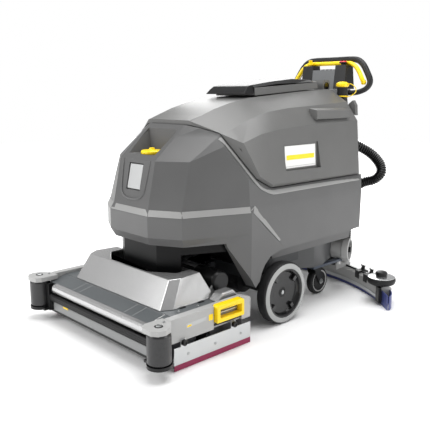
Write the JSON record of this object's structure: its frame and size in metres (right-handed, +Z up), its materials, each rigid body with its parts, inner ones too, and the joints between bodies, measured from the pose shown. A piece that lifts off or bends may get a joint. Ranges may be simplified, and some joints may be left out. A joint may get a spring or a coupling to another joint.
{
  "type": "wet dry floor scrubber",
  "caption": "Walk-behind floor scrubber with a roller brush head, tilting waste tank, push handle, lifting squeegee, suction hose, drive wheels and casters.",
  "frame": {"origin": "centre of the bounding box's bottom face, on the floor", "axes": "+Y points to the rear, where the operator walks, -Y is the brush head's front, +X is the machine's left side and +Z is up"},
  "size_m": [1.0318, 1.5406, 1.1184],
  "materials": {
    "body_grey_plastic": "fine grained",
    "tank_grey_plastic": "fine grained",
    "light_grey_plastic": "satin",
    "silver_paint": "satin silver paint",
    "dark_grey_plastic": "satin",
    "black_plastic": "semi-gloss",
    "black_rubber": "matt",
    "tyre_rubber": "matt",
    "yellow_plastic": "satin",
    "frame_paint": "satin",
    "aluminium": "brushed",
    "crimson_rubber": "satin",
    "blue_rubber": "satin",
    "red_plastic": "satin",
    "brush_bristle": "bristle tufts"
  },
  "bodies": {
    "chassis": {"lower_body": "body_grey_plastic", "front_skirt": "black_plastic", "rear_underbody": "light_grey_plastic", "battery_pack": "dark_grey_plastic", "chassis_frame": "frame_paint", "drive_unit": "frame_paint", "rear_column": "body_grey_plastic", "console": "dark_grey_plastic", "handle_loop": "black_plastic", "water_filter_housing": "light_grey_plastic", "suction_hose": "black_rubber"},
    "filler_cap": {"water_fill_cap": "yellow_plastic"},
    "filter_knob": {"water_filter_knob": "black_plastic"},
    "drive_wheel_left": {"drive_tyre_left": "tyre_rubber", "drive_hub_left": "black_plastic"},
    "drive_wheel_right": {"drive_tyre_right": "tyre_rubber", "drive_hub_right": "black_plastic"},
    "caster_fork_left": {"caster_fork_left": "frame_paint"},
    "caster_wheel_left": {"caster_wheel_left": "black_rubber"},
    "caster_fork_right": {"caster_fork_right": "frame_paint"},
    "caster_wheel_right": {"caster_wheel_right": "black_rubber"},
    "tank": {"waste_tank": "tank_grey_plastic", "filter_basket": "black_plastic", "drain_hose": "black_rubber"},
    "float_ball": {"float_ball": "yellow_plastic"},
    "drain_cap": {"drain_cap": "yellow_plastic"},
    "lid": {"lid_housing": "tank_grey_plastic", "lid_cover": "black_plastic", "suction_turbine": "black_plastic"},
    "impeller": {"turbine_impeller": "aluminium"},
    "drive_lever": {"drive_lever": "yellow_plastic"},
    "stop_button": {"stop_button": "red_plastic"},
    "key_switch": {"key_switch": "yellow_plastic"},
    "squeegee_lever": {"squeegee_lever": "black_plastic"},
    "lift_arm": {"lift_arm": "frame_paint"},
    "upper_link": {"upper_link": "frame_paint"},
    "brush_head": {"head_housing": "black_plastic", "head_cover": "silver_paint", "front_plate": "silver_paint", "front_bumper": "black_plastic", "side_plate_left": "light_grey_plastic", "side_plate_right": "light_grey_plastic", "brush_motor": "black_plastic"},
    "brush_release_left": {"brush_release_left": "yellow_plastic"},
    "brush_release_right": {"brush_release_right": "yellow_plastic"},
    "corner_roller_left": {"corner_roller_left": "black_rubber"},
    "corner_roller_right": {"corner_roller_right": "black_rubber"},
    "side_guard_left": {"side_guard_left": "aluminium", "guard_blade_left": "crimson_rubber"},
    "side_guard_right": {"side_guard_right": "aluminium", "guard_blade_right": "crimson_rubber"},
    "roller_brush_front": {"roller_brush_front": "brush_bristle"},
    "roller_brush_rear": {"roller_brush_rear": "brush_bristle"},
    "squeegee_arm": {"squeegee_arm": "frame_paint", "hose_bellows": "black_rubber"},
    "squeegee": {"squeegee_beam": "light_grey_plastic", "squeegee_blade_front": "blue_rubber", "squeegee_blade_rear": "blue_rubber"},
    "squeegee_bumper_left": {"squeegee_bumper_left": "black_rubber"},
    "squeegee_bumper_right": {"squeegee_bumper_right": "black_rubber"}
  },
  "joints": [
    {"name": "filler_cap_turn", "type": "hinge", "parent": "chassis", "child": "filler_cap", "pos_m": [-0.06936, -0.42532, 0.706], "axis": [0, 0, 1], "range_deg": [0, 90]},
    {"name": "filter_knob_turn", "type": "hinge", "parent": "chassis", "child": "filter_knob", "pos_m": [0.15264, 0.50768, 0.2005], "axis": [0.93, 0.3676, 0], "range_deg": [0, 90]},
    {"name": "drive_wheel_left_spin", "type": "hinge", "parent": "chassis", "child": "drive_wheel_left", "pos_m": [0.27014, -0.02732, 0.13], "axis": [1, 0, 0], "continuous": true},
    {"name": "drive_wheel_right_spin", "type": "hinge", "parent": "chassis", "child": "drive_wheel_right", "pos_m": [-0.40886, -0.02732, 0.13], "axis": [1, 0, 0], "continuous": true},
    {"name": "caster_left_swivel", "type": "hinge", "parent": "chassis", "child": "caster_fork_left", "pos_m": [0.14564, 0.34768, 0.064], "axis": [0, 0, 1], "continuous": true},
    {"name": "caster_left_spin", "type": "hinge", "parent": "caster_fork_left", "child": "caster_wheel_left", "pos_m": [0.14564, 0.38268, 0.064], "axis": [1, 0, 0], "continuous": true},
    {"name": "caster_right_swivel", "type": "hinge", "parent": "chassis", "child": "caster_fork_right", "pos_m": [-0.28436, 0.34768, 0.064], "axis": [0, 0, 1], "continuous": true},
    {"name": "caster_right_spin", "type": "hinge", "parent": "caster_fork_right", "child": "caster_wheel_right", "pos_m": [-0.28436, 0.38268, 0.064], "axis": [1, 0, 0], "continuous": true},
    {"name": "tank_tilt", "type": "hinge", "parent": "chassis", "child": "tank", "pos_m": [-0.38736, -0.02732, 0.562], "axis": [0, -1, 0], "range_deg": [0, 60]},
    {"name": "float_rise", "type": "slide", "parent": "tank", "child": "float_ball", "axis": [0, 0, 1], "range_m": [0, 0.04]},
    {"name": "drain_cap_flip", "type": "hinge", "parent": "tank", "child": "drain_cap", "pos_m": [0.13264, 0.59668, 0.966], "axis": [0, 1, 0], "range_deg": [0, 100]},
    {"name": "lid_open", "type": "hinge", "parent": "tank", "child": "lid", "pos_m": [-0.06936, 0.47568, 0.967], "axis": [-1, 0, 0], "range_deg": [0, 75]},
    {"name": "turbine_spin", "type": "hinge", "parent": "lid", "child": "impeller", "pos_m": [-0.06936, 0.30768, 0.86], "axis": [0, 0, 1], "continuous": true},
    {"name": "drive_lever_pull", "type": "hinge", "parent": "chassis", "child": "drive_lever", "pos_m": [-0.06936, 0.72068, 0.99], "axis": [-1, 0, 0], "range_deg": [0, 7], "stiffness_Nm_per_rad": 4, "springref_deg": -5.73},
    {"name": "stop_button_press", "type": "slide", "parent": "chassis", "child": "stop_button", "axis": [0, 0, -1], "range_m": [0, 0.006], "stiffness_N_per_m": 400, "springref_m": -0.003},
    {"name": "key_turn", "type": "hinge", "parent": "chassis", "child": "key_switch", "pos_m": [-0.16936, 0.69268, 1.0745], "axis": [0, 0, 1], "range_deg": [0, 90]},
    {"name": "squeegee_lever_turn", "type": "hinge", "parent": "chassis", "child": "squeegee_lever", "pos_m": [-0.21336, 0.66268, 0.76], "axis": [-1, 0, 0], "range_deg": [0, 50]},
    {"name": "head_lift", "type": "hinge", "parent": "chassis", "child": "lift_arm", "pos_m": [-0.06936, -0.21732, 0.236], "axis": [-1, 0, 0], "range_deg": [0, 18]},
    {"name": "head_level", "type": "hinge", "parent": "lift_arm", "child": "brush_head", "pos_m": [-0.06936, -0.32732, 0.208], "axis": [-1, 0, 0], "range_deg": [-18, 0]},
    {"name": "upper_link_turn", "type": "hinge", "parent": "chassis", "child": "upper_link", "pos_m": [-0.06936, -0.21732, 0.268], "axis": [-1, 0, 0], "range_deg": [0, 18]},
    {"name": "brush_release_left_open", "type": "hinge", "parent": "brush_head", "child": "brush_release_left", "pos_m": [0.33564, -0.39582, 0.1315], "axis": [0, 1, 0], "range_deg": [0, 80]},
    {"name": "corner_roller_left_spin", "type": "hinge", "parent": "brush_head", "child": "corner_roller_left", "pos_m": [0.33264, -0.72432, 0.114], "axis": [0, 0, 1], "continuous": true},
    {"name": "side_guard_left_rise", "type": "slide", "parent": "brush_head", "child": "side_guard_left", "axis": [0, 0, 1], "range_m": [0, 0.009]},
    {"name": "brush_release_right_open", "type": "hinge", "parent": "brush_head", "child": "brush_release_right", "pos_m": [-0.47436, -0.39582, 0.1315], "axis": [0, -1, 0], "range_deg": [0, 80]},
    {"name": "corner_roller_right_spin", "type": "hinge", "parent": "brush_head", "child": "corner_roller_right", "pos_m": [-0.47136, -0.72432, 0.114], "axis": [0, 0, 1], "continuous": true},
    {"name": "side_guard_right_rise", "type": "slide", "parent": "brush_head", "child": "side_guard_right", "axis": [0, 0, 1], "range_m": [0, 0.009]},
    {"name": "front_brush_spin", "type": "hinge", "parent": "brush_head", "child": "roller_brush_front", "pos_m": [-0.06936, -0.58732, 0.0706], "axis": [1, 0, 0], "continuous": true},
    {"name": "rear_brush_spin", "type": "hinge", "parent": "brush_head", "child": "roller_brush_rear", "pos_m": [-0.06936, -0.39932, 0.0706], "axis": [1, 0, 0], "continuous": true},
    {"name": "squeegee_swing", "type": "hinge", "parent": "chassis", "child": "squeegee_arm", "pos_m": [-0.06936, -0.10232, 0.06], "axis": [0, 0, 1], "range_deg": [0, 28]},
    {"name": "squeegee_lift", "type": "slide", "parent": "squeegee_arm", "child": "squeegee", "axis": [0, 0, 1], "range_m": [0, 0.055], "deforming": ["hose_bellows"]},
    {"name": "squeegee_bumper_left_spin", "type": "hinge", "parent": "squeegee", "child": "squeegee_bumper_left", "pos_m": [0.42373, 0.49267, 0.106], "axis": [0, 0, 1], "continuous": true},
    {"name": "squeegee_bumper_right_spin", "type": "hinge", "parent": "squeegee", "child": "squeegee_bumper_right", "pos_m": [-0.2254, 0.65451, 0.106], "axis": [0, 0, 1], "continuous": true}
  ],
  "couplings": [
    {"joint": "head_level", "follows": "head_lift", "ratio": -1},
    {"joint": "upper_link_turn", "follows": "head_lift", "ratio": 1},
    {"joint": "rear_brush_spin", "follows": "front_brush_spin", "ratio": -1},
    {"joint": "squeegee_lever_turn", "follows": "squeegee_lift", "rad_per_m": 15.86}
  ]
}
